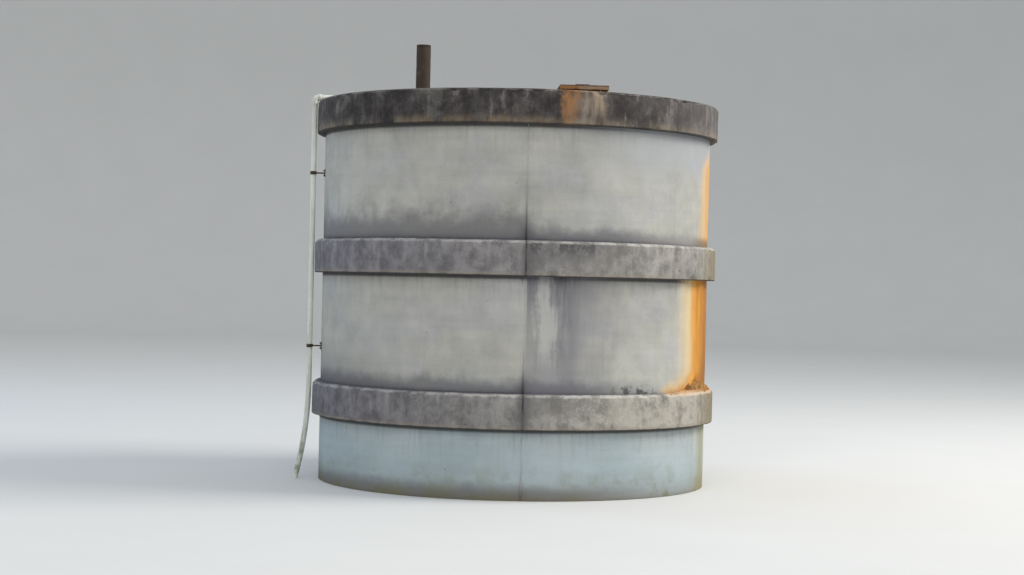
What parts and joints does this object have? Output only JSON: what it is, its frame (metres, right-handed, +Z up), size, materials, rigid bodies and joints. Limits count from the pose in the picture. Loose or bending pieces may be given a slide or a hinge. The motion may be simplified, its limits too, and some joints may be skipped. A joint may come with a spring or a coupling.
{
  "type": "concrete water storage tank",
  "caption": "Cylindrical concrete water storage tank on the ground, with collar bands, a rimmed lid, a hatch, a steel vent pipe and a plastic fill pipe.",
  "frame": {"origin": "centre of the tank's underside, on its vertical axis at ground level", "axes": "+Z up along the tank's axis; -Y is the front, with a wall joint on it; +X is the right, with the fill pipe on the -X side"},
  "size_m": [3.3117, 3.176, 3.44],
  "materials": {
    "wall_concrete": "smooth cast concrete, stained",
    "band_concrete": "weathered cast concrete with dark growth",
    "lid_concrete": "weathered cast concrete with black growth",
    "rusty_steel": "rusted",
    "white_plastic": "weathered white"
  },
  "bodies": {
    "root": {"wall_bottom_front_right": "wall_concrete", "wall_bottom_back_right": "wall_concrete", "wall_bottom_back_left": "wall_concrete", "wall_bottom_front_left": "wall_concrete", "wall_middle_front_right": "wall_concrete", "wall_middle_back_right": "wall_concrete", "wall_middle_back_left": "wall_concrete", "wall_middle_front_left": "wall_concrete", "wall_top_front_right": "wall_concrete", "wall_top_back_right": "wall_concrete", "wall_top_back_left": "wall_concrete", "wall_top_front_left": "wall_concrete", "band_lower_front_right": "band_concrete", "band_lower_back_right": "band_concrete", "band_lower_back_left": "band_concrete", "band_lower_front_left": "band_concrete", "band_middle_front_right": "band_concrete", "band_middle_back_right": "band_concrete", "band_middle_back_left": "band_concrete", "band_middle_front_left": "band_concrete", "floor_slab": "wall_concrete", "roof_lid": "lid_concrete", "vent_pipe": "rusty_steel", "hatch_frame": "rusty_steel", "hatch_cover": "rusty_steel", "hatch_handle": "rusty_steel", "pipe_bracket_lower": "rusty_steel", "pipe_bracket_upper": "rusty_steel", "fill_pipe_riser": "white_plastic", "fill_pipe_top_elbow": "white_plastic", "fill_pipe_run": "white_plastic", "fill_pipe_drop_elbow": "white_plastic", "fill_pipe_drop": "white_plastic"}
  },
  "joints": []
}
